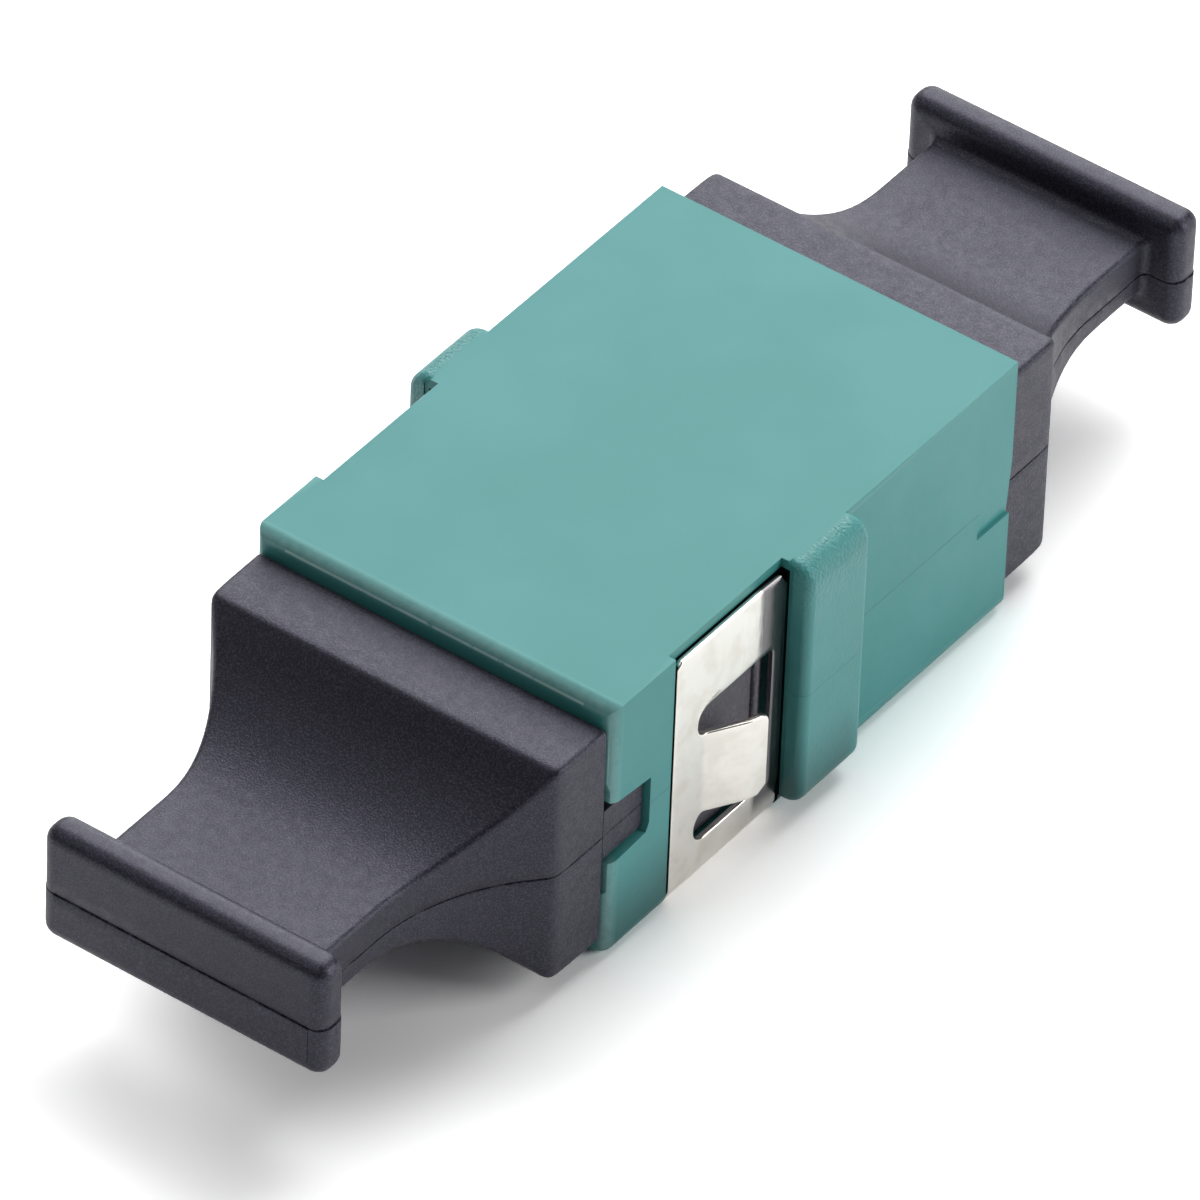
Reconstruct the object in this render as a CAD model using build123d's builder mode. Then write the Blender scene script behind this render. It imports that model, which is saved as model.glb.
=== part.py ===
"""Multi-fibre push-on adapter with a reduced flange, panel clip and two dust caps.

Millimetres. Y is the mating axis, the front port looks to -Y. X is the width,
with an ear and a clip leg on each side. Z is up and z = 0 is the face it lies on.
"""

import os

from build123d import *

os.makedirs("parts", exist_ok=True)

# Housing: one moulding, open from end to end
body_w = 12.8
body_h = 9.5
body_l = 19.6
bottom_edge_r = 0.55
front_rim_r = 0.42
mid_z = body_h / 2
end_y = body_l / 2

# Port: the same rectangle runs right through
port_w = 10.0
port_h = 7.2
port_corner_r = 0.4
port_lead_in = 0.25

# Reduced flange: an ear on each narrow side
ear_out = 0.82
ear_l = 3.0
ear_top_r = 0.7
ear_bottom_r = 0.6
ear_foot = 0.47
ear_edge_r = 0.3

# Panel clip: one folded sheet in a shallow recess around three sides
sheet_t = 0.2
recess_d = 0.27
recess_under_d = 0.23
ear_root_w = 0.2
ear_root_d = 0.05
clip_l = 5.19
clip_far_gap = 0.03
clip_near_gap = 0.17
clip_top_drop = 0.35
clip_bend_r = 0.32
clip_corner_r = 0.3
seat_gap = 0.01
leg_gap = 0.05
lean_l = 1.1
lean_out = 0.06
lean_low_z = 0.75
lean_full_z = 1.6
lean_cut_l = 0.24
lean_cut_h = 0.36

# Spring tongue and the window that it is cut from
window_l = 3.52
window_h = 5.1
window_low_z = 1.5
window_from_edge = 0.53
window_end_r = 0.5
window_far_r = 0.15
tongue_w = 3.0
tongue_lift = 0.72
tongue_reach = 2.3
tongue_tip_l = 0.7
tongue_tip_rise = 0.2
tongue_bend_r = 0.5
tongue_root_r = 0.45
tongue_tip_r = 0.3
tongue_tip_cut = 0.3

# Slot in each side wall behind the window, filled by the latch insert
slot_margin = 0.3

# Side notches for the dust cap tabs
notch_d = 1.93
notch_h = 2.0
notch_flare = 0.2
notch_corner = 0.3
relief_d = 0.12
relief_h = 5.0
relief_slope = 0.3
rear_notch_d = 1.6
rear_notch_sink = 0.12

# Latch insert: ring, two cheeks towards the front, two arms towards the rear
insert_gap = 0.1
ring_l = 2.0
ring_open_w = 7.0
ring_open_h = 4.4
cheek_t = 0.75
arm_h = 2.8
arm_l = 5.0
hook_out = 0.5
hook_l = 0.9
rib_r = 0.16
rib_from_edge = 0.5
pad_inset = 0.2

# Dust cap: block, scooped waist, end bar, tabs and plug
cap_gap = 0.04
block_w = 12.44
block_h = 8.0
block_l = 2.28
block_edge_r = 0.22
waist_l = 8.1
neck_w = 7.66
neck_up = 1.2
neck_down = 0.75
side_scoop_l = 5.3
top_scoop_l = 4.6
under_scoop_l = 6.0
bar_w = 10.0
bar_h = 4.05
bar_up = 0.22
bar_t = 1.2
bar_edge_r = 0.48
collar_l = 0.3
collar_up = 0.24
tab_inset = 0.02
tab_gap_end = 0.08
tab_gap_low = 0.12
tab_gap_top = 0.04
plug_gap = 0.08
plug_l = 3.4
plug_nose = 0.4

side_x = body_w / 2
floor_x = side_x - recess_d
ear_y = ear_l / 2
ear_x = side_x + ear_out
clip_far_y = -ear_y - clip_far_gap
clip_near_y = clip_far_y - clip_l
clip_mid_y = (clip_far_y + clip_near_y) / 2
recess_near_y = clip_near_y - clip_near_gap
ear_root_x = side_x + ear_root_w
clip_face_x = floor_x + leg_gap + sheet_t
clip_low_z = recess_under_d - seat_gap - sheet_t
lean_near_y = clip_far_y - lean_l
clip_top_z = body_h - clip_top_drop
window_mid_y = clip_far_y - window_from_edge - window_l / 2
window_mid_z = window_low_z + window_h / 2
window_near_y = window_mid_y - window_l / 2
tongue_low_z = window_mid_z - tongue_w / 2
tongue_high_z = window_mid_z + tongue_w / 2
tongue_tip_y = window_near_y + tongue_reach - sheet_t / 4
slot_l = window_l + 2 * slot_margin
slot_h = window_h + 2 * slot_margin

with BuildPart() as housing:
    with BuildSketch(Plane.XZ) as body_section:
        with Locations((0, mid_z)):
            Rectangle(body_w, body_h)
        fillet(body_section.vertices().group_by(Axis.Y)[0], bottom_edge_r)
    extrude(amount=end_y, both=True)
    front_edges = housing.faces().sort_by(Axis.Y)[0].edges()
    fillet(front_edges, front_rim_r)
    # ears reach into the wall so that they are part of the moulding
    with BuildSketch(Plane.XZ) as ear_section:
        with Locations((0, (body_h + ear_foot) / 2)):
            Rectangle(2 * ear_x, body_h - ear_foot)
        fillet(ear_section.vertices().group_by(Axis.Y)[-1], ear_top_r)
        fillet(ear_section.vertices().group_by(Axis.Y)[0], ear_bottom_r)
    extrude(amount=ear_y, both=True)
    outer_ear_edges = (
        housing.edges()
        .filter_by(lambda e: abs(abs(e.center().Y) - ear_y) < 1e-6)
        .filter_by(lambda e: abs(e.center().X) > side_x + ear_out / 2)
    )
    fillet(outer_ear_edges, ear_edge_r)
    # clip recess in both sides and the underside, cut a little into the ears' roots
    with BuildSketch(Plane.XZ.offset(ear_y - ear_root_d)) as recess_section:
        with Locations((0, mid_z)):
            Rectangle(2 * ear_root_x, body_h + 1)
        with BuildSketch(mode=Mode.PRIVATE) as kept:
            with Locations((0, recess_under_d + body_h)):
                Rectangle(2 * floor_x, 2 * body_h)
            fillet(kept.vertices().group_by(Axis.Y)[0], clip_bend_r)
        add(kept.sketch, mode=Mode.SUBTRACT)
    extrude(amount=-recess_near_y - ear_y + ear_root_d, mode=Mode.SUBTRACT)
    # the port, straight through, with a lead-in at both mouths
    with BuildSketch(Plane.XZ) as port_section:
        with Locations((0, mid_z)):
            RectangleRounded(port_w, port_h, port_corner_r)
    extrude(amount=end_y, both=True, mode=Mode.SUBTRACT)
    for tip in (-1, 1):
        mouth = (
            housing.edges()
            .filter_by(lambda e: abs(e.center().Y - tip * end_y) < 1e-6)
            .filter_by(lambda e: abs(e.center().X) < port_w / 2 + 1e-3)
            .filter_by(lambda e: abs(e.center().Z - mid_z) < port_h / 2 + 1e-3)
        )
        chamfer(mouth, port_lead_in)
    # windows in the side walls behind the clip
    with BuildSketch(Plane.YZ) as slot_sketch:
        with Locations((window_mid_y, window_mid_z)):
            RectangleRounded(slot_l, slot_h, window_far_r)
    extrude(amount=side_x, both=True, mode=Mode.SUBTRACT)
    # notches at the front, flared towards the mouth, and the relief around them
    with BuildSketch(Plane.YZ) as notch_sketch:
        with BuildLine():
            Polyline(
                (-end_y - 1, mid_z + notch_h / 2 + notch_flare * 1.5),
                (-end_y + notch_d, mid_z + notch_h / 2),
                (-end_y + notch_d, mid_z - notch_h / 2 + notch_corner),
                (-end_y + notch_d - notch_corner / 2, mid_z - notch_h / 2),
                (-end_y - 1, mid_z - notch_h / 2 - notch_flare),
                close=True,
            )
        make_face()
        with BuildLine():
            Polyline(
                (-end_y - 1, mid_z - relief_h / 2 - relief_slope * 3),
                (-end_y + relief_d, mid_z - relief_h / 2 + relief_slope),
                (-end_y + relief_d, mid_z + relief_h / 2 - 3 * relief_slope),
                (-end_y - 1, mid_z + relief_h / 2 + 15 * relief_slope),
                close=True,
            )
        make_face()
    extrude(amount=side_x + 1, both=True, mode=Mode.SUBTRACT)
    # sloping blind recesses where the rear notches would be
    with BuildSketch(Plane.XZ.offset(-end_y - 1)) as sink_sketch:
        for side in (-1, 1):
            with BuildLine():
                Polyline(
                    (side * (side_x + 1), mid_z + notch_h / 2),
                    (side * side_x, mid_z + notch_h / 2),
                    (side * (side_x - rear_notch_sink), mid_z - notch_h / 2),
                    (side * (side_x + 1), mid_z - notch_h / 2),
                    close=True,
                )
            make_face()
    extrude(amount=rear_notch_d + 1, mode=Mode.SUBTRACT)
housing.part.label = "housing"

# a tongue for each leg, rooted at the end of its window that faces the port
with BuildPart() as tongues:
    with BuildSketch(Plane.XY.offset(window_mid_z - window_h / 2)) as tongue_plan:
        for side in (-1, 1):
            lift_x = clip_face_x - sheet_t / 2
            with BuildLine():
                FilletPolyline(
                    (side * lift_x, window_near_y - 2 * sheet_t),
                    (side * lift_x, window_near_y + 2 * sheet_t),
                    (side * (lift_x + tongue_lift), window_near_y + tongue_reach - tongue_tip_l),
                    (side * (lift_x + tongue_lift + tongue_tip_rise), window_near_y + tongue_reach),
                    radius=tongue_bend_r,
                )
            trace(line_width=sheet_t)
    extrude(amount=window_h)
    # flat outline of the tongue: rounded into the leg, one tip corner round, one cut
    with BuildSketch(Plane.YZ) as tongue_outline:
        with BuildLine():
            Polyline(
                (window_near_y, tongue_high_z + tongue_root_r),
                (window_near_y - 2 * sheet_t, tongue_high_z + tongue_root_r),
                (window_near_y - 2 * sheet_t, tongue_low_z - tongue_root_r),
                (window_near_y, tongue_low_z - tongue_root_r),
            )
            TangentArc(
                (window_near_y, tongue_low_z - tongue_root_r),
                (window_near_y + tongue_root_r, tongue_low_z),
                tangent=(0, 1),
            )
            Polyline(
                (window_near_y + tongue_root_r, tongue_low_z),
                (tongue_tip_y - tongue_tip_cut, tongue_low_z),
                (tongue_tip_y, tongue_low_z + tongue_tip_cut),
                (tongue_tip_y, tongue_high_z - tongue_tip_r),
            )
            TangentArc(
                (tongue_tip_y, tongue_high_z - tongue_tip_r),
                (tongue_tip_y - tongue_tip_r, tongue_high_z),
                tangent=(0, 1),
            )
            Line((tongue_tip_y - tongue_tip_r, tongue_high_z), (window_near_y + tongue_root_r, tongue_high_z))
            TangentArc(
                (window_near_y + tongue_root_r, tongue_high_z),
                (window_near_y, tongue_high_z + tongue_root_r),
                tangent=(-1, 0),
            )
        make_face()
    extrude(amount=side_x + tongue_lift + 1, both=True, mode=Mode.INTERSECT)

with BuildPart() as retaining_clip:
    with BuildSketch(Plane.XZ.offset(-clip_far_y)) as clip_section:
        with Locations((0, clip_low_z + (clip_top_z - clip_low_z) / 2)):
            Rectangle(2 * clip_face_x, clip_top_z - clip_low_z)
        fillet(clip_section.vertices().group_by(Axis.Y)[0], clip_bend_r + sheet_t)
        with BuildSketch(mode=Mode.PRIVATE) as hollow:
            with Locations((0, clip_low_z + sheet_t + body_h / 2)):
                Rectangle(2 * (clip_face_x - sheet_t), body_h)
            fillet(hollow.vertices().group_by(Axis.Y)[0], clip_bend_r)
        add(hollow.sketch, mode=Mode.SUBTRACT)
    extrude(amount=clip_l)
    near_corners = retaining_clip.edges().filter_by(Axis.X).group_by(Axis.Z)[-1].group_by(Axis.Y)[0]
    fillet(near_corners, clip_corner_r)
    # the end of each leg that faces the ear leans out above the lower bend
    with BuildSketch(Plane.YZ) as lean_space:
        with Locations((clip_far_y + 1 - lean_l, lean_low_z + body_h / 2)):
            Rectangle(2, body_h)
    extrude(amount=side_x + 1, both=True, mode=Mode.SUBTRACT)
    for side in (-1, 1):
        with BuildSketch(Plane.XY.offset(lean_low_z)) as lean_foot:
            with BuildLine():
                Polyline(
                    (side * clip_face_x, lean_near_y),
                    (side * (clip_face_x - sheet_t), lean_near_y),
                    (side * (clip_face_x - sheet_t), clip_far_y),
                    (side * clip_face_x, clip_far_y),
                    close=True,
                )
            make_face()
        with BuildSketch(Plane.XY.offset(lean_full_z)) as lean_full:
            with BuildLine():
                Polyline(
                    (side * clip_face_x, lean_near_y),
                    (side * (clip_face_x - sheet_t), lean_near_y),
                    (side * (clip_face_x - sheet_t + lean_out), clip_far_y),
                    (side * (clip_face_x + lean_out), clip_far_y),
                    close=True,
                )
            make_face()
        loft(ruled=True)
        extrude(to_extrude=lean_full.sketch, amount=clip_top_z - lean_full_z)
    with BuildSketch(Plane.YZ) as lean_cut:
        with BuildLine():
            Polyline(
                (clip_far_y - lean_cut_l, clip_top_z),
                (clip_far_y, clip_top_z - lean_cut_h),
                (clip_far_y + 1, clip_top_z - lean_cut_h),
                (clip_far_y + 1, clip_top_z + 1),
                (clip_far_y - lean_cut_l, clip_top_z + 1),
                close=True,
            )
        make_face()
    extrude(amount=side_x + 1, both=True, mode=Mode.SUBTRACT)
    with BuildSketch(Plane.YZ) as window_sketch:
        with Locations((window_mid_y, window_mid_z)):
            Rectangle(window_l, window_h)
        fillet(window_sketch.vertices().group_by(Axis.X)[0], window_end_r)
        fillet(window_sketch.vertices().group_by(Axis.X)[-1], window_far_r)
    extrude(amount=side_x + 1, both=True, mode=Mode.SUBTRACT)
    add(tongues.part)
retaining_clip.part.label = "retaining_clip"

insert_w = port_w - 2 * insert_gap
insert_h = port_h - 2 * insert_gap
cheek_near_y = window_mid_y - slot_l / 2
pad_face_x = floor_x - pad_inset
pad_l = slot_l - 2 * insert_gap
pad_h = slot_h - 2 * insert_gap
rib_y = window_mid_y + slot_l / 2 - rib_from_edge

with BuildPart() as latch_insert:
    # pads that fill the wall slots, with the way through left open
    with BuildSketch(Plane.YZ) as pad_sketch:
        with Locations((window_mid_y, window_mid_z)):
            RectangleRounded(pad_l, pad_h, window_far_r)
    extrude(amount=pad_face_x, both=True)
    with BuildSketch(Plane.XZ) as clear_section:
        with Locations((0, mid_z)):
            Rectangle(insert_w - 2 * cheek_t, body_h)
    extrude(amount=-cheek_near_y + 1, mode=Mode.SUBTRACT)
    # cheeks carry the pads from the ring in the middle
    with BuildSketch(Plane.XY.offset(mid_z - insert_h / 2 + port_corner_r)) as cheek_plan:
        for side in (-1, 1):
            with BuildLine():
                Polyline(
                    (side * insert_w / 2, 0),
                    (side * insert_w / 2, cheek_near_y),
                    (side * (insert_w / 2 - cheek_t), cheek_near_y),
                    (side * (insert_w / 2 - cheek_t), 0),
                    close=True,
                )
            make_face()
    extrude(amount=insert_h - 2 * port_corner_r)
    with BuildSketch(Plane.XZ) as ring_section:
        with Locations((0, mid_z)):
            RectangleRounded(insert_w, insert_h, port_corner_r)
            RectangleRounded(ring_open_w, ring_open_h, port_corner_r, mode=Mode.SUBTRACT)
    extrude(amount=ring_l / 2, both=True)
    # an upright rib shows at the far end of each window
    with Locations(
        Location((pad_face_x, rib_y, window_mid_z)),
        Location((-pad_face_x, rib_y, window_mid_z)),
    ):
        Cylinder(rib_r, pad_h - 2 * window_far_r)
    # hooked arms towards the rear port
    with BuildSketch(Plane.XY.offset(mid_z - arm_h / 2)) as arm_plan:
        for side in (-1, 1):
            outer = side * insert_w / 2
            inner = side * (insert_w / 2 - cheek_t)
            tip_y = ring_l / 2 + arm_l
            with BuildLine():
                Polyline(
                    (outer, 0),
                    (outer, tip_y),
                    (inner, tip_y),
                    (inner - side * hook_out, tip_y - hook_l / 2),
                    (inner, tip_y - hook_l),
                    (inner, 0),
                    close=True,
                )
            make_face()
    extrude(amount=arm_h)
latch_insert.part.label = "latch_insert"

seat_y = -end_y - cap_gap
block_y = seat_y - block_l
waist_y = block_y - waist_l
bar_mid_y = waist_y - bar_t / 2
bar_mid_z = mid_z + bar_up
neck_x = neck_w / 2
neck_high_z = mid_z + neck_up
neck_low_z = mid_z - neck_down
block_high_z = mid_z + block_h / 2
block_low_z = mid_z - block_h / 2
tab_tip_y = -end_y + notch_d - tab_gap_end
tab_low_z = mid_z - notch_h / 2 + tab_gap_low
tab_high_z = mid_z + notch_h / 2 - tab_gap_top
plug_w = port_w - 2 * plug_gap
plug_h = port_h - 2 * plug_gap
neck_mid_z = (neck_high_z + neck_low_z) / 2
neck_h = neck_high_z - neck_low_z

with BuildPart() as end_bar:
    with Locations((0, bar_mid_y, bar_mid_z)):
        Box(bar_w, bar_t, bar_h)
    fillet(end_bar.edges(), bar_edge_r)

with BuildPart() as cap_body:
    # outline from above: block, scooped sides and neck
    with BuildSketch(Plane.XY) as cap_plan:
        with BuildLine():
            Polyline((0, seat_y), (block_w / 2, seat_y), (block_w / 2, block_y))
            TangentArc(
                (neck_x, block_y - side_scoop_l),
                (block_w / 2, block_y),
                tangent=(0, 1),
            )
            Polyline((neck_x, block_y - side_scoop_l), (neck_x, bar_mid_y), (0, bar_mid_y))
            mirror(about=Plane.YZ)
        make_face()
    extrude(amount=body_h)
    # outline from the side, crossed with the one from above
    with BuildSketch(Plane.YZ) as cap_side:
        with BuildLine():
            Polyline((block_y, block_high_z), (seat_y, block_high_z), (seat_y, block_low_z), (block_y, block_low_z))
            TangentArc(
                (block_y - top_scoop_l, neck_high_z),
                (block_y, block_high_z),
                tangent=(1, 0),
            )
            TangentArc(
                (block_y - under_scoop_l, neck_low_z),
                (block_y, block_low_z),
                tangent=(1, 0),
            )
            Polyline(
                (block_y - top_scoop_l, neck_high_z),
                (bar_mid_y, neck_high_z),
                (bar_mid_y, neck_low_z),
                (block_y - under_scoop_l, neck_low_z),
            )
        make_face()
    extrude(amount=body_w, both=True, mode=Mode.INTERSECT)
    long_edges = cap_body.edges().filter_by(Axis.Y).filter_by(
        lambda e: e.center().Y > block_y
    )
    fillet(long_edges, block_edge_r)
    add(end_bar.part)
    # a low collar where the neck meets the bar
    with BuildSketch(Plane.XZ.offset(-waist_y)) as collar_foot:
        with Locations((0, neck_mid_z)):
            Rectangle(neck_w + 2 * collar_up, neck_h + 2 * collar_up)
    with BuildSketch(Plane.XZ.offset(-(waist_y + collar_l))) as collar_top:
        with Locations((0, neck_mid_z)):
            Rectangle(neck_w, neck_h)
    loft()
    # plug that holds the cap in the port
    with BuildSketch(Plane.XZ.offset(-seat_y)) as plug_section:
        with Locations((0, mid_z)):
            RectangleRounded(plug_w, plug_h, port_corner_r)
    extrude(amount=-plug_l)
    chamfer(cap_body.faces().sort_by(Axis.Y)[-1].edges(), plug_nose)

# the front cap has a tab in each side notch; the rear side walls are closed
with BuildPart() as dust_cap_front:
    add(cap_body.part)
    with BuildSketch(Plane.XZ.offset(-seat_y)) as tab_section:
        with Locations((0, (tab_low_z + tab_high_z) / 2)):
            Rectangle(block_w - 2 * tab_inset, tab_high_z - tab_low_z)
    extrude(amount=seat_y - tab_tip_y)
dust_cap_front.part.label = "dust_cap_front"

with BuildPart() as dust_cap_rear:
    mirror(cap_body.part, about=Plane.XZ)
dust_cap_rear.part.label = "dust_cap_rear"

for piece in (housing, retaining_clip, latch_insert, dust_cap_front, dust_cap_rear):
    export_step(piece.part, f"parts/{piece.part.label}.step")
    print(piece.part.label, len(piece.part.solids()), round(piece.part.volume, 3), piece.part.bounding_box())
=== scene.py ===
# %% [markdown]
# # A fibre adapter with its dust caps
#
# The real thing is a push-on adapter no longer than a finger joint: an aqua moulding,
# a folded steel clip that springs into a panel, a black latch inside, and a soft dark
# dust cap in each port. This lesson starts from the solids that the factory packed, lights
# them as a product photographer would, and works out the surfaces that need more than
# a plain solid can give: the scooped caps with their mould line, the folded clip, and
# the finishes.

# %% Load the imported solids
import math

import bpy
import numpy as np
from mathutils import Matrix, Vector
from mathutils.geometry import delaunay_2d_cdt


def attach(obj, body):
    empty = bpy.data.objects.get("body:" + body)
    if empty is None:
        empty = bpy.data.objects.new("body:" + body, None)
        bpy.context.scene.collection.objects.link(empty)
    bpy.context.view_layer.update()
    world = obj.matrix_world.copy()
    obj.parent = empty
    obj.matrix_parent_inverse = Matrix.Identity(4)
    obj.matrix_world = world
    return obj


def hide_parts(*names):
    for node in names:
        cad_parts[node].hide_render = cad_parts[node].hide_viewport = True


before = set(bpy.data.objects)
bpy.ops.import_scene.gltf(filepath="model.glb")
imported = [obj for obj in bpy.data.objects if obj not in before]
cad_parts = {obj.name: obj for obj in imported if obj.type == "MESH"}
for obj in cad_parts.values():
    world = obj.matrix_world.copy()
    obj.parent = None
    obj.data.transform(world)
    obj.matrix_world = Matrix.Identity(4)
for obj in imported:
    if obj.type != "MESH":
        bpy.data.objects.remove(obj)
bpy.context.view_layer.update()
MM = 0.001

# %% [markdown]
# The photographer stood back with a long lens, a little to the right of the front port
# and well above it. A camera is three directions and a place: the way back from the
# object to the lens, the picture's right and the picture's up. The way back comes from
# two angles, and a small roll turns the other two, because the photo's horizon
# leans a little. All the numbers were solved from the straight edges in the photo.

# %% Camera
AZIMUTH, ELEVATION, ROLL = (math.radians(a) for a in (35.0725, 41.0559, 2.313))
AWAY_MM = 459.794
RIGHT_MM, UP_MM = -0.8282, 2.6904
FOCAL_PX, PICTURE_PX = 15803.23, 1200
SENSOR_MM = 36.0


def picture_axes(azimuth, elevation, roll):
    """Right, up and back of a camera, as unit vectors in a 3 by 3 array of rows.
    Back leans from the front by the azimuth and rises by the elevation, right is level,
    up is back crossed with right, and the roll turns right and up about back."""
    back = np.array([
        math.sin(azimuth) * math.cos(elevation),
        -math.cos(azimuth) * math.cos(elevation),
        math.sin(elevation),
    ])
    level = np.array([math.cos(azimuth), math.sin(azimuth), 0.0])
    upright = np.cross(back, level)
    right = math.cos(roll) * level + math.sin(roll) * upright
    up = math.cos(roll) * upright - math.sin(roll) * level
    return np.array([right, up, back])


right, up, back = picture_axes(AZIMUTH, ELEVATION, ROLL)
lens_place = (RIGHT_MM * right + UP_MM * up + AWAY_MM * back) * MM
camera = bpy.data.objects.new("camera", bpy.data.cameras.new("camera"))
bpy.context.collection.objects.link(camera)
turned = Matrix(np.column_stack([right, up, back]).tolist()).to_4x4()
turned.translation = lens_place.tolist()
camera.matrix_world = turned
camera.data.sensor_width = SENSOR_MM
camera.data.lens = FOCAL_PX / PICTURE_PX * SENSOR_MM
camera.data.clip_start, camera.data.clip_end = 0.05, 5.0
bpy.context.scene.camera = camera
print("lens", round(camera.data.lens, 1), "mm, standing", round(AWAY_MM), "mm away")

# %% [markdown]
# A finish is a tree of nodes, and a tree is easier to read as a list of lines. The
# helper below adds one node for each line: what it is given is a number, a setting, or
# the output of an earlier line.

# %% Recipes


class Recipe:
    """A node tree that is written one line at a time."""

    def __init__(self, owner):
        owner.use_nodes = True
        self.name, self.tree = owner.name, owner.node_tree
        self.tree.nodes.clear()

    def add(self, kind, **values):
        """A node of that kind. A value is a number for a socket, an output to link to
        it, or a setting of the node; a socket's name has _ for each space."""
        node = self.tree.nodes.new("ShaderNode" + kind)
        for key, value in values.items():
            plain = key.replace("_", " ")
            socket = node.inputs.get(plain) or node.inputs.get(plain.title())
            if key.startswith("in") and key[2:].isdigit():
                socket = node.inputs[int(key[2:])]
            if socket is None:
                setattr(node, key, value)
            elif isinstance(value, bpy.types.NodeSocket):
                self.tree.links.new(value, socket)
            else:
                socket.default_value = value
        return node


def math_node(recipe, operation, a, b=0.0):
    """One sum of two numbers or outputs."""
    return recipe.add("Math", operation=operation, in0=a, in1=b).outputs[0]


# %% [markdown]
# The table is one sheet of white paper, and in the photo it is pure white wherever the
# object throws no shadow. A glow would wash the shadow out, so the paper is
# instead a shade whiter than white to the lens and to shiny surfaces, and plain
# paper to the light that bounces off it. The shadow keeps its depth that way. The room
# is white to the lens too, and gives the object only a trace of light.

# %% Table and room
bpy.context.scene.view_settings.view_transform = "Standard"
PAPER, LENS_EXTRA, MIRROR_EXTRA = 0.88, 0.68, 0.28
TABLE_HALF, ROOM_LIGHT = 1.5, 0.03

paper = bpy.data.materials.new("table_paper")
recipe = Recipe(paper)
path = recipe.add("LightPath").outputs
to_lens = math_node(recipe, "MULTIPLY", path["Is Camera Ray"], LENS_EXTRA)
shiny = math_node(recipe, "MAXIMUM", path["Is Glossy Ray"], path["Is Transmission Ray"])
extra = math_node(recipe, "ADD", to_lens, math_node(recipe, "MULTIPLY", shiny, MIRROR_EXTRA))
white = recipe.add("BsdfDiffuse", Color=math_node(recipe, "ADD", extra, PAPER))
recipe.add("OutputMaterial", Surface=white.outputs[0])


def flat_sheet(name, half_width):
    """A square of that half width at height nought, as a mesh object."""
    corners = np.array([[-1, -1, 0], [1, -1, 0], [1, 1, 0], [-1, 1, 0]], float) * half_width
    mesh = bpy.data.meshes.new(name)
    mesh.from_pydata(corners.tolist(), [], [[0, 1, 2, 3]])
    sheet = bpy.data.objects.new(name, mesh)
    bpy.context.collection.objects.link(sheet)
    return sheet


table = flat_sheet("table", TABLE_HALF)
table.data.materials.append(paper)

room = bpy.data.worlds.new("room")
bpy.context.scene.world = room
recipe = Recipe(room)
path = recipe.add("LightPath").outputs
level = recipe.add("Mix", data_type="FLOAT", in0=path["Is Camera Ray"], in2=ROOM_LIGHT, in3=1.0)
sky = recipe.add("Background", Color=(1, 1, 1, 1), Strength=level.outputs[0])
recipe.add("OutputWorld", Surface=sky.outputs[0])
print("paper is", PAPER, "to the object and", round(PAPER + LENS_EXTRA, 2), "to the lens")

# %% [markdown]
# The top faces carry a pale sheen and the front faces are dark, so the main lamp is a wide
# softbox behind the object, in the direction in which the tops mirror the lens: the
# sheen is its reflection. A smaller one stands a little higher, and a low one reaches into
# the scoops. A wide one at the left lights the floor, and one at the right lights the
# clip's side. A weak card, steep in front, keeps the front faces from going black.

# %% Softboxes
AIM_HEIGHT = 0.005


def softbox(name, towards, away, size, watts):
    """A square lamp at a distance along a direction, facing the object's middle."""
    lamp = bpy.data.objects.new(name, bpy.data.lights.new(name, "AREA"))
    bpy.context.collection.objects.link(lamp)
    direction = np.array(towards, float) / np.linalg.norm(towards)
    side = np.cross((0, 0, 1), direction)
    side /= np.linalg.norm(side)
    turn = Matrix(np.column_stack([side, np.cross(direction, side), direction]).tolist()).to_4x4()
    turn.translation = (direction * away + np.array([0, 0, AIM_HEIGHT])).tolist()
    lamp.matrix_world = turn
    lamp.data.shape, lamp.data.size, lamp.data.energy = "SQUARE", size, watts
    print(name, "faces the object from", [round(float(c), 2) for c in direction])


softbox("high_softbox", (0.00, 0.60, 0.80), 0.40, 0.22, 0.36)
softbox("sheen_softbox", (-0.40, 0.62, 0.76), 0.40, 0.42, 1.74)
softbox("low_softbox", (-0.45, 0.80, 0.28), 0.40, 0.20, 0.26)
softbox("left_softbox", (-1.00, -0.25, 1.00), 0.45, 0.60, 0.32)
softbox("right_softbox", (0.95, 0.50, 0.40), 0.40, 0.22, 0.84)
softbox("front_card", (-0.20, -0.60, 1.00), 0.40, 0.30, 0.20)

# %% [markdown]
# Every finish reads Object coordinates, which are metres in the shared frame, and turns
# them into millimetres first, so a noise scale of 10 has grains a tenth of a millimetre
# apart. A few more helpers follow: soft steps, thin lines and noise make a factor, and a
# colour is then laid over the last one by that factor. A pattern in millimetres can be
# placed on the real object with a ruler, which a picture wrapped round it can't.

# %% Helpers for finishes


def millimetres(recipe):
    """Object coordinates times 1000: the vector, and x, y and z apart."""
    place = recipe.add("TexCoord").outputs["Object"]
    scaled = recipe.add("VectorMath", operation="SCALE", in0=place)
    scaled.inputs["Scale"].default_value = 1 / MM
    parts = recipe.add("SeparateXYZ", Vector=scaled.outputs[0])
    return scaled.outputs[0], parts.outputs["X"], parts.outputs["Y"], parts.outputs["Z"]


def times(recipe, first, *others):
    """The product of two or more numbers or outputs."""
    for other in others:
        first = math_node(recipe, "MULTIPLY", first, other)
    return first


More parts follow.
